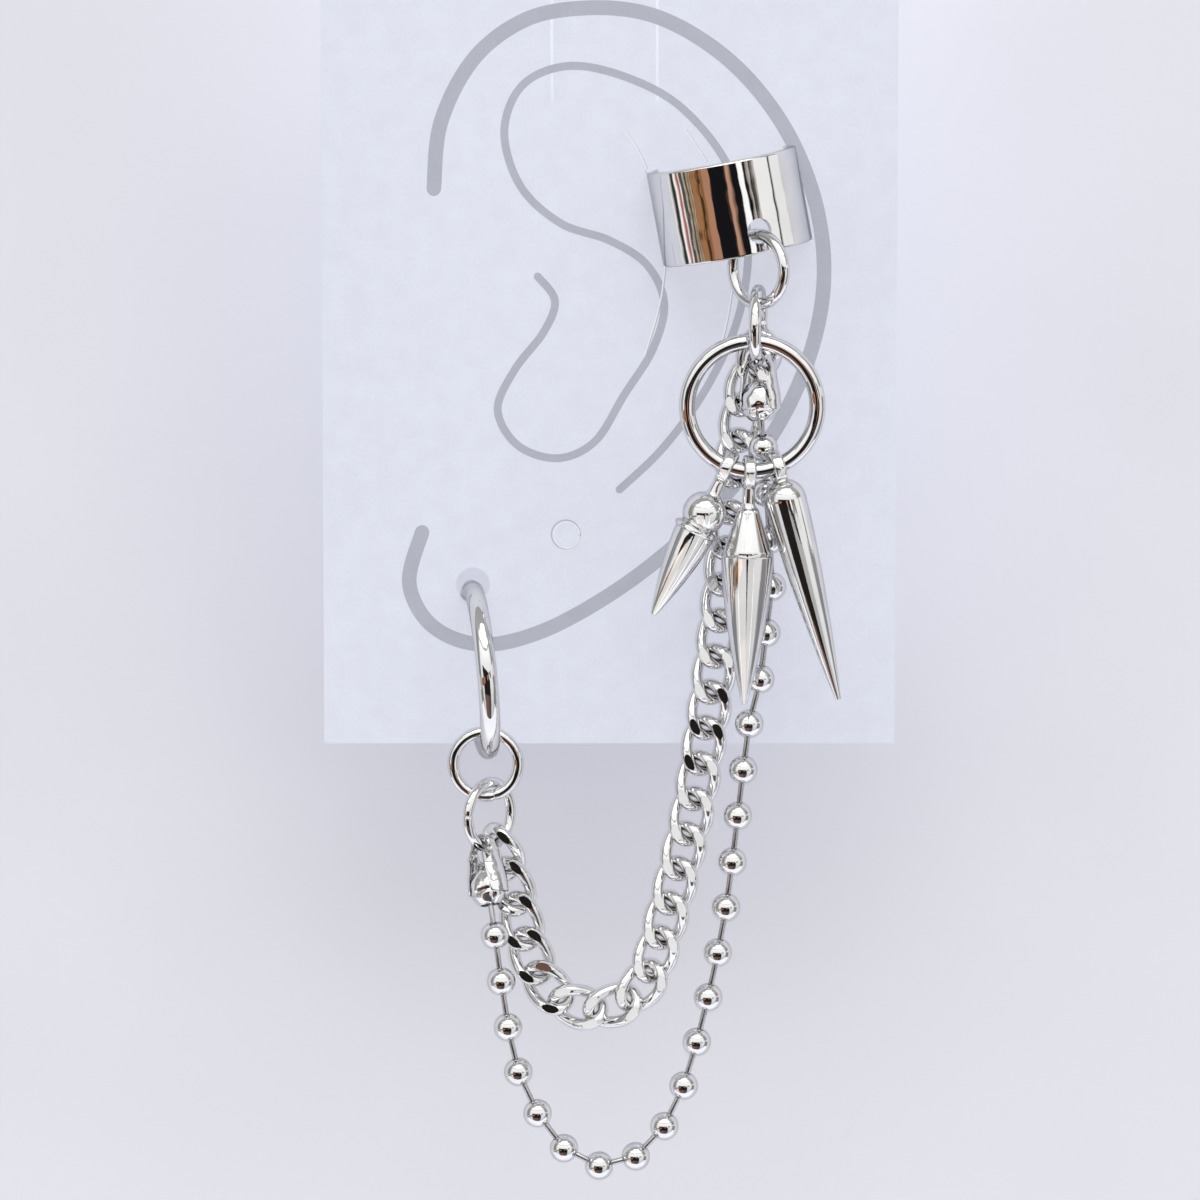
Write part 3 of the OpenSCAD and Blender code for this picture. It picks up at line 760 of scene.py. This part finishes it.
def bead(middle, before, after):
    """A hollow bead. Its poles turn smoothly from one neighbour to the other,
    and each hole's lip is drawn in a little."""
    up = (before - middle).normalized() if before else (middle - after).normalized()
    low = (after - middle).normalized() if after else -up
    mean = (up - low).normalized()
    bend = mean.cross(up)
    angle = asin(min(1, bend.length))
    bend = bend.normalized() if bend.length > 1e-6 else Vector((0, 1, 0))
    x0 = (Vector((0, -1, 0)) - mean * mean.dot(Vector((0, -1, 0)))).normalized()
    y0 = mean.cross(x0)
    r_out, r_in, hole = BEAD_D / 2 - BEAD_TRIM, BEAD_D / 2 - BEAD_WALL, BORE_D / 2
    a_out, a_in = asin((hole + 0.07) / r_out), asin(hole / r_in)
    profile = [(r_out, a_out + (pi - 2 * a_out) * i / 30) for i in range(31)]
    profile += [(r_out - 0.02, pi - asin((hole + 0.02) / r_out)),
                (r_out - 0.06, pi - asin(hole / (r_out - 0.06)))]
    profile += [(r_in, pi - a_in - (pi - 2 * a_in) * i / 12) for i in range(13)]
    profile += [(r_out - 0.06, asin(hole / (r_out - 0.06))),
                (r_out - 0.02, asin((hole + 0.02) / r_out))]
    rows = []
    for r, theta in profile:
        turn = Matrix.Rotation(angle * (1 - 2 * theta / pi), 3, bend)
        z = turn @ mean
        x, y = turn @ x0, turn @ y0
        rows.append([middle + r * (cos(theta) * z + sin(theta) * (cos(p) * x + sin(p) * y))
                     for p in [2 * pi * j / 40 for j in range(40)]])
    return Build().grid(rows, wrap_rows=True)


def pin(length):
    """A drawn pin: round heads and a shank with a slight waist."""
    head = PIN_HEAD / 2
    low = [(head * sin(a), -head * cos(a)) for a in [radians(4 + 140 * i / 10) for i in range(11)]]
    shank = PIN_D / 2 + SHANK_MORE
    neck = [(shank, head + 0.03), (shank * 0.96, length / 2)]
    upper = [(shank, length - head - 0.03)] + [(r, length - z) for r, z in reversed(low)]
    return lathe(low + neck + upper, 20)


def make_ball_chain():
    """All beads as one piece and all pins as another."""
    middles = bead_middles()
    beads, pins = Build(), Build()
    for i, middle in enumerate(middles):
        before = middles[i - 1] if i else None
        after = middles[i + 1] if i + 1 < len(middles) else None
        beads.join(bead(middle, before, after))
        if after:
            inset = (after - middle).normalized() * PIN_HEAD_IN
            start, end = middle + inset, after - inset
            pins.join(pin((end - start).length).moved(towards(start, end)))
    take(beads.piece("ball_beads", silver_bead, 50), BODY, JEWEL, "ball_chain_beads")
    take(pins.piece("ball_pins", silver_pin, 50), BODY, JEWEL, "ball_chain_pins")


make_ball_chain()


# Chain tips

CUP_WALL, STRAP_W, STRAP_T, TIP_DROP = 0.2, 0.85, 0.28, 3.05
CUP_R = BEAD_D / 2 + PLAY + CUP_WALL

# The upper half of a cup is stretched. A slit closes over SLIT_CLOSES degrees
# at its upper end, and POLE keeps the cup's wall off its very top
CUP_TALL, SLIT_CLOSES, POLE = 1.32, 14, 0.03

# Depths of the hammer marks and of the creases in a cup and in its leaves
DENT, CUP_CREASE, LEAF_CREASE = 0.09, 0.1, 0.05


def cup(slots):
    """The cup that holds the last bead: hammered sheet, open at the bottom
    and slit up the front. slots lists (azimuth, half width, height)."""
    mouth = 0.35 * BEAD_D
    a_out, a_in = asin(mouth / CUP_R), asin(mouth / (CUP_R - CUP_WALL))
    loop = [(CUP_R, a_out + (pi - POLE - a_out) * i / 40) for i in range(40, -1, -1)]
    loop += [(CUP_R - CUP_WALL, a_in + (pi - POLE - a_in) * i / 24) for i in range(25)]
    shell = Build()
    for k, (start, _, _) in enumerate(slots):
        end = slots[(k + 1) % len(slots)][0] + (360 if k + 1 == len(slots) else 0)
        steps, rows = 60, []
        for j in range(steps + 1):
            row = []
            for r, theta in loop:
                draws = []
                for _, half, high in (slots[k], slots[(k + 1) % len(slots)]):
                    up = min(1.0, max(0.0, (high - degrees(theta)) / SLIT_CLOSES))
                    draws.append(half * up ** 0.5 / max(0.3, r * sin(theta)))
                a0 = radians(start) + draws[0]
                phi = a0 + (radians(end) - draws[1] - a0) * j / steps
                way = Vector((sin(theta) * cos(phi), sin(theta) * sin(phi), -cos(theta)))
                # Hammer marks, and a wavy crease round the cup's middle
                dent = DENT * (noise.noise(way * 2.3) - 0.3) if theta < pi - 0.1 else -0.02
                dent -= CUP_CREASE * exp(-((way.z + 0.2 + 0.1 * sin(2 * phi)) / 0.1) ** 2)
                spot = way * (r + min(0.0, dent))
                row.append(Vector((spot.x, spot.y, spot.z * (CUP_TALL if spot.z > 0 else 1))))
            rows.append(row)
        shell.grid(rows)
    return shell


def strap(wire, wide):
    """The folded sheet: an arch over the ring and two leaves that widen and
    wrap round the cup. wide is each leaf's width at the cup."""
    arch = wire / 2 + 1.85 * PLAY + STRAP_T / 2
    foot = CUP_R + 0.6 * STRAP_T - STRAP_T / 2
    low = TIP_DROP + 0.15 * BEAD_D
    legs = [(arch * 1.06, 0.1), (arch * 1.32, 0.55), (foot * 0.9, 1.75), (foot * 0.99, 2.45),
            (foot, low)]
    path = [(-x, -z) for x, z in reversed(legs)]
    path += [(-arch * cos(radians(a)), arch * sin(radians(a))) for a in range(0, 181, 12)]
    path += [(x, -z) for x, z in legs]
    path = smooth_rows(path, 6)
    half_t = STRAP_T / 2
    rows = []
    for i, (x, z) in enumerate(path):
        x0, z0 = path[max(i - 1, 0)]
        x1, z1 = path[min(i + 1, len(path) - 1)]
        heading = Vector((x1 - x0, 0, z1 - z0)).normalized()
        out = Vector((-heading.z, 0, heading.x))
        # From the arch, 0, to the leaves, 1, which end in round corners
        t = min(1.0, max(0.0, (-z - 0.1) / 1.3))
        t = t * t * (3 - 2 * t)
        end = min(1.0, max(0.0, (low + z) / 0.5)) ** 0.5
        half_w = STRAP_W / 2 + (wide / 2 * (0.72 + 0.28 * end) - STRAP_W / 2) * t
        thin = half_t * (1 - 0.35 * t)
        row = []
        # Across the sheet, its outer side and then back along its inner side
        for side in (1, -1):
            for k in range(17):
                v = side * (half_w - thin) * (1 - k / 8)
                u = thin * side
                if k in (0, 16):
                    u *= 0.55
                    v *= 1 + thin * 0.6 / half_w
                wrap = foot - (foot * foot - v * v) ** 0.5
                crease = LEAF_CREASE * t * noise.noise(Vector((v * 1.6, z * 2.2, 3.0 + x)))
                row.append(Vector((x, v, z)) + out * (u + crease)
                           - Vector((1 if x > 0 else -1, 0, 0)) * wrap * t)
        rows.append(row)
    return Build().grid(rows)


def chain_tip(name, node, ring, seat, turn, pitch, lean, twist, wide, slots):
    """A strap and its cup. seat is the angle on the ring that it hangs from,
    and the other angles turn the tip as it hangs there."""
    centre, _, r, wire = ring_of(ring)
    a = radians(seat)
    spin = Matrix.Rotation(radians(turn), 4, "Z")
    hook = centre + r * (spin @ Vector((sin(a), 0, -cos(a))))
    place = (Matrix.Translation(hook) @ Matrix.Rotation(radians(turn - 90), 4, "Z")
             @ Matrix.Rotation(radians(pitch), 4, "X") @ Matrix.Rotation(radians(lean), 4, "Y"))
    build = strap(wire, wide)
    build.join(cup(slots), Matrix.Translation((0, 0, -TIP_DROP)))
    build = build.moved(place @ Matrix.Rotation(radians(twist), 4, "Z"))
    take(build.piece(name, silver_cast, 40), BODY, JEWEL, node)


chain_tip("tip_upper", "ball_tip_upper", "link_ring", seat=0, turn=83, pitch=0, lean=-3,
          twist=-18, wide=1.6, slots=[(-78, 0.1, 78), (95, 0.04, 60)])
chain_tip("tip_lower", "ball_tip_lower", "hoop_ring_lower", seat=-16, turn=50, pitch=-10, lean=-17,
          twist=6, wide=2.2, slots=[(-40, 0.12, 74), (120, 0.05, 60)])


# Hoop

# Fine grooves round the tube: where they are and how wide, in degrees, and
# how deep, as a share of the tube
GROOVES_AT, GROOVE_WIDE, GROOVE_DEEP = (12, 168), 0.7, 0.05


def make_hoop():
    """The round tube of the hoop."""
    centre, axis, r, wire = ring_of("hoop")
    section = round_section(wire - TRIM, 40)
    rows, steps = [], 240
    for i in range(steps):
        angle = 360 * i / steps
        near = min(abs((angle - g + 180) % 360 - 180) for g in GROOVES_AT)
        size = 1 - GROOVE_DEEP * exp(-(near / GROOVE_WIDE) ** 2)
        rows.append(ring_row(r, section, angle, size))
    build = Build().grid(rows, wrap_rows=True).moved(ring_frame(centre, axis))
    take(build.piece("hoop_tube", silver_sheet, 60), BODY, JEWEL, "hoop")


make_hoop()


# Card

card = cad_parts["display_card"]
card.data.materials.clear()
card.data.materials.append(board)

# The card's front face, and how far the back of a print is sunk in it
FACE_Y, SUNK = -0.25, 0.02

# A printed line's round end: how far out each row lies and how wide it is
ROUND_END = ((0.5, 0.87), (0.87, 0.5), (1.0, 0.08))


def print_line(build, points, width, lift):
    """Adds a thin closed strip with round ends, which lies on the card and
    stands lift proud of it."""
    path = [Vector(p) for p in smooth_rows(points, 14)]
    pairs = []
    for i, p in enumerate(path):
        heading = (path[min(i + 1, len(path) - 1)] - path[max(i - 1, 0)]).normalized()
        side = Vector((-heading.y, heading.x)) * width / 2
        pairs.append((p + side, p - side))
    ends = []
    for end, inner in ((0, 1), (-1, -2)):
        way = (path[end] - path[inner]).normalized() * width / 2
        side = (pairs[end][0] - pairs[end][1]) / 2
        ends.append([(path[end] + way * out + side * wide, path[end] + way * out - side * wide)
                     for out, wide in ROUND_END])
    front, back = FACE_Y - lift, FACE_Y + SUNK
    build.grid([[(l.x, front, l.y), (r.x, front, r.y), (r.x, back, r.y), (l.x, back, l.y)]
                for l, r in ends[0][::-1] + pairs + ends[1]])


def print_piece(name, lines, material, lift):
    """lines lists (points, width)."""
    build = Build()
    for points, width in lines:
        print_line(build, points, width, lift)
    take(build.piece(name, material, 30), BODY, CARD)


# A plain outline of an ear, in round numbers
EAR_RIM = [(-12.2, -17.6), (-11.7, -13), (-9.4, -8.6), (-5.8, -5.9), (-1.6, -5.1), (2.6, -5.5),
           (6.4, -7.3), (9.8, -10.2), (12.6, -14.2), (14.4, -19), (14.9, -24), (14, -29),
           (11.8, -34), (8.6, -38.4), (4.6, -42.5), (0, -46), (-4.8, -48.6), (-9, -49.5),
           (-12.4, -48.2), (-14, -45.2), (-13.1, -41.6)]
EAR_FOLD = [(0.7, -38.6), (3.8, -35.6), (6.8, -31.4), (9, -26.4), (9.6, -21), (8.2, -16),
            (5, -12), (1.2, -9.9), (-2.8, -9.1), (-6, -10.4), (-7.3, -13.6), (-6.2, -17.4),
            (-3.4, -20), (0, -21.2), (2.6, -22.9), (3.8, -25.6), (3, -28.8), (1, -32),
            (-1, -35.2), (-3.6, -36.4), (-6.4, -35.5), (-7.8, -33), (-6.6, -30.2),
            (-4.6, -27.6), (-3.8, -25.4), (-5, -23.7)]
print_piece("ear_print_rim", [(EAR_RIM, 1.02)], ink, 0.006)
print_piece("ear_print_fold", [(EAR_FOLD, 0.55)], ink, 0.007)

# Hairline cuts round the cuff's slots, each drawn as a painted highlight along its raised lip and
# a painted shadow just beside it
CUTS = [[(1.1, -13.7), (1.9, -14.8), (2.55, -16.2)],
        [(3.85, -23), (3.6, -25), (3.15, -26.9), (2.4, -29.3)],
        [(5.2, -13.5), (6.0, -14.6), (6.7, -15.7)],
        [(8.55, -24.4), (8.2, -26.6), (7.85, -28.1)]]
print_piece("card_cut_light", [(c, 0.09) for c in CUTS], cut_painted_highlight, 0.016)
print_piece("card_cut_shade", [([(x + 0.08, z - 0.03) for x, z in c], 0.06) for c in CUTS],
            cut_painted_shadow, 0.01)


def circle_points(x, z, r, turns=24):
    return [(x + r * cos(2 * pi * i / turns), z + r * sin(2 * pi * i / turns))
            for i in range(turns + 1)]


# A small circle that is punched but not pushed out, drawn as a ring of painted shadow with a ring
# of painted highlight just inside it
print_piece("card_punch_shade", [(circle_points(-3.05, -41.75, 1.0), 0.1)], cut_painted_shadow, 0.008)
print_piece("card_punch_light", [(circle_points(-3.0, -41.8, 0.92), 0.07)], cut_painted_highlight, 0.012)


# Backdrop

WALL_Y, WALL_TOP, FLOOR_Z, FLOOR_END = 22.0, 260.0, -230.0, -110.0
SWEEP, HALF_WIDTH = 60.0, 330


def make_backdrop():
    """A pale sweep: a wall close behind the card, curved into a floor."""
    line = [(WALL_Y, WALL_TOP), (WALL_Y, FLOOR_Z + SWEEP)]
    line += [(WALL_Y - SWEEP + SWEEP * cos(a), FLOOR_Z + SWEEP - SWEEP * sin(a))
             for a in [pi / 2 * i / 16 for i in range(1, 17)]]
    line += [(FLOOR_END, FLOOR_Z)]
    verts, faces = [], []
    for y, z in line:
        verts += [(-HALF_WIDTH, y, z), (HALF_WIDTH, y, z)]
    for i in range(len(line) - 1):
        faces.append((2 * i, 2 * i + 2, 2 * i + 3, 2 * i + 1))
    obj = add_piece("backdrop", verts, faces, [wall])
    obj.visible_shadow = False


make_backdrop()


# Light

# What stands round the jewel in the studio, by its azimuth from the camera's
# side towards the right: (where it starts, colour)
AROUND = [(-180, (0.80, 0.80, 0.80)), (-90, (0.03, 0.03, 0.03)), (-84, (0.9, 0.9, 0.88)),
          (-79, (0.40, 0.12, 0.10)), (-74, (0.62, 0.61, 0.58)), (-63, (0.34, 0.26, 0.18)),
          (-52, (0.25, 0.12, 0.055)), (-33, (0.42, 0.21, 0.13)), (-23, (0.008, 0.008, 0.010)),
          (2, (0.48, 0.27, 0.18)), (10, (0.008, 0.008, 0.010)), (22, (1.0, 1.0, 1.0)),
          (29, (0.02, 0.02, 0.02)), (34, (0.34, 0.31, 0.28)), (46, (0.85, 0.85, 0.84)),
          (72, (0.03, 0.03, 0.03)), (76, (0.82, 0.82, 0.82))]

# How much the ring of stripes rises towards the right, and how high it is
RING_SLOPE, RING_LOW, RING_HIGH = 0.182, -0.13, 0.01

# The stripes between these azimuths are streaky, as things on a shelf are:
# how fine the streaks are along and across the ring, and what they add
STREAKY_AT = ((-73, -36), (31, 45))
STREAK_ALONG, STREAK_ACROSS, STREAK_RANGE = 0.24, 11.0, (-0.88, 0.35)

# The room's colours from straight below to straight above
SKY = [(0.0, (0.55, 0.55, 0.57)), (0.28, (0.66, 0.66, 0.68)), (0.47, (0.80, 0.80, 0.81)),
       (0.60, (0.86, 0.86, 0.87)), (0.74, (1.0, 1.0, 1.0)), (0.80, (1.55, 1.55, 1.53)),
       (1.0, (1.35, 1.35, 1.35))]

# A dark patch under the ring: the camera's stand, left and right of its middle,
# and the camera over it. Heights are from -1, straight below, to 1
CAMERA_AZIMUTHS, CAMERA_HEIGHTS, STAND_TOP = (-42, 28), (-0.88, 0.10), -0.45
STAND_LEFT, STAND_RIGHT = (0.17, 0.095, 0.07), (0.075, 0.075, 0.08)
CAMERA_BODY = (0.016, 0.013, 0.012)

# The room is dim beside the sweep and in a band over it, which only shows in
# the metal: how deep and how high, how much, and the colour
BESIDE, BESIDE_DIM, OVER, OVER_DIM = (-0.30, 0.30), 0.8, (0.52, 0.60), 0.7
DIM = (0.10, 0.10, 0.105)

# The plain ground that the camera sees past the sweep, and the room's glow
PLAIN, GLOW = (0.745, 0.74, 0.785), 1.18


def make_world():
    """The studio: a pale room with a ring of stripes and a dark camera, as
    the metal mirrors them."""
    world = bpy.data.worlds.new("studio")
    bpy.context.scene.world = world
    world.use_nodes = True
    nodes, links = world.node_tree.nodes, world.node_tree.links
    background = nodes["Background"]

    def math(op, *values):
        node = nodes.new("ShaderNodeMath")
        node.operation = op
        for socket, value in zip(node.inputs, values):
            if isinstance(value, (int, float)):
                socket.default_value = value
            else:
                links.new(value, socket)
        return node.outputs["Value"]

    def step(value, at, soft):
        result = range_node(nodes, links, value, (at - soft, at + soft), (0, 1))
        result.node.interpolation_type = "SMOOTHSTEP"
        return result

    def window(value, low, high, soft):
        return math("MULTIPLY", step(value, low, soft),
                    math("SUBTRACT", 1.0, step(value, high, soft)))

    def mix(factor, a, b):
        node = nodes.new("ShaderNodeMix")
        node.data_type = "RGBA"
        links.new(factor, node.inputs["Factor"])
        for socket, value in ((node.inputs["A"], a), (node.inputs["B"], b)):
            if isinstance(value, tuple):
                socket.default_value = (*value, 1)
            else:
                links.new(value, socket)
        return node.outputs["Result"]

    coords = nodes.new("ShaderNodeTexCoord").outputs["Generated"]
    split = nodes.new("ShaderNodeSeparateXYZ")
    links.new(coords, split.inputs["Vector"])
    x, y, z = split.outputs["X"], split.outputs["Y"], split.outputs["Z"]
    noise_value = noise_node(nodes, links, coords, 6, 1)
    wobble = math("SUBTRACT", noise_value, 0.5)
    azimuth = math("ARCTAN2", x, math("MULTIPLY", y, -1.0))
    azimuth = math("ADD", math("MULTIPLY", azimuth, 180 / pi), math("MULTIPLY", wobble, 11.0))
    height = math("ADD", z, math("MULTIPLY", wobble, 0.05))
    tipped = math("SUBTRACT", height, math("MULTIPLY", x, RING_SLOPE))

    stops, blur = [], 0.0022
    for (_, before), (start, after) in zip(AROUND, AROUND[1:]):
        here = (start + 180) / 360
        stops += [(here - blur, before), (here + blur, after)]
    ring = ramp_node(nodes, links, math("DIVIDE", math("ADD", azimuth, 180.0), 360.0), stops)

    spot = nodes.new("ShaderNodeCombineXYZ")
    links.new(math("MULTIPLY", azimuth, STREAK_ALONG), spot.inputs["X"])
    links.new(math("MULTIPLY", tipped, STREAK_ACROSS), spot.inputs["Y"])
    streak = noise_node(nodes, links, spot.outputs["Vector"], 1.0, 1, 0.5)
    bright = range_node(nodes, links, streak, (0.38, 0.62), STREAK_RANGE)
    streaky = math("MAXIMUM", *[window(azimuth, low, high, 2.0) for low, high in STREAKY_AT])
    shade = nodes.new("ShaderNodeVectorMath")
    shade.operation = "SCALE"
    links.new(ring, shade.inputs[0])
    links.new(math("MULTIPLY_ADD", streaky, bright, 1.0), shade.inputs["Scale"])

    sky = ramp_node(nodes, links, math("ADD", math("MULTIPLY", z, 0.5), 0.5), SKY)
    on_ring = window(tipped, RING_LOW, RING_HIGH, 0.01)
    low_camera = math("MULTIPLY", window(height, *CAMERA_HEIGHTS, 0.012),
                      window(azimuth, *CAMERA_AZIMUTHS, 1.5))
    tripod = mix(step(azimuth, -2, 2.0), STAND_LEFT, STAND_RIGHT)
    tripod = mix(step(height, STAND_TOP, 0.02), tripod, CAMERA_BODY)
    colour = mix(low_camera, sky, tripod)
    colour = mix(on_ring, colour, shade.outputs["Vector"])
    side = window(math("ADD", y, math("MULTIPLY", noise_value, 0.25)), *BESIDE, 0.08)
    side = math("MULTIPLY", side, math("SUBTRACT", 1.0, on_ring))
    gaps = window(height, *OVER, 0.02)
    dim = math("MAXIMUM", math("MULTIPLY", side, BESIDE_DIM), math("MULTIPLY", gaps, OVER_DIM))
    dim = math("MULTIPLY", dim, nodes.new("ShaderNodeLightPath").outputs["Is Glossy Ray"])
    colour = mix(dim, colour, DIM)
    seen = nodes.new("ShaderNodeLightPath").outputs["Is Camera Ray"]
    colour = mix(seen, colour, PLAIN)
    links.new(colour, background.inputs["Color"])
    background.inputs["Strength"].default_value = GLOW


def area_light(name, at, to, size, power, shiny=True, only=None):
    """A soft light. One that isn't shiny doesn't show in the metal, and only
    names the pieces that it lights, if not all."""
    data = bpy.data.lights.new(name, "AREA")
    data.shape, data.size, data.size_y = "RECTANGLE", size[0] * MM, size[1] * MM
    data.energy = power
    obj = bpy.data.objects.new(name, data)
    bpy.context.scene.collection.objects.link(obj)
    obj.location = Vector(at) * MM
    obj.rotation_mode = "QUATERNION"
    obj.rotation_quaternion = (Vector(to) - Vector(at)).to_track_quat("-Z", "Y")
    obj.visible_camera = False
    obj.visible_glossy = shiny
    if only:
        lit = bpy.data.collections.new(name + "_lights")
        for piece in only:
            lit.objects.link(bpy.data.objects[piece])
        obj.light_linking.receiver_collection = lit


make_world()
area_light("top_softbox", (40, -230, 260), (0, 0, -45), (320, 240), 0.23)
area_light("front_fill", (60, -400, -60), (0, 0, -60), (260, 260), 0.06, shiny=False)

# Reflector cards at both sides of each cast cone, which only the cones face.
# The dark gap between two cards runs down the cone as a line
SPIKES_AT = Vector((9.5, -7, -46))


def reflector(name, azimuths, heights, glow, only, far=380.0):
    """A light that spans a range of azimuths and heights, in degrees, as the
    spikes see it, with the brightness glow."""
    a, e = sum(azimuths) / 2, sum(heights) / 2
    half = [far * tan(radians((top - low) / 2)) for low, top in (azimuths, heights)]
    area = 4 * half[0] * half[1] * MM * MM
    area_light(name, SPIKES_AT + sight(a, e) * far, SPIKES_AT, (2 * half[0], 2 * half[1]),
               glow * pi * area, only=only)


reflector("card_left", (-44, -4), (-64, -6), 0.84, ["drop_middle", "drop_short"])
reflector("card_right", (1.5, 30), (-64, -6), 0.76, ["drop_middle", "drop_short"])
reflector("card_long", (3, 30), (-64, -6), 0.5, ["drop_long"])

scene = bpy.context.scene
scene.view_settings.view_transform = "Standard"
scene.view_settings.look = "None"
scene.view_settings.exposure = 0.0
scene.view_settings.gamma = 1.0
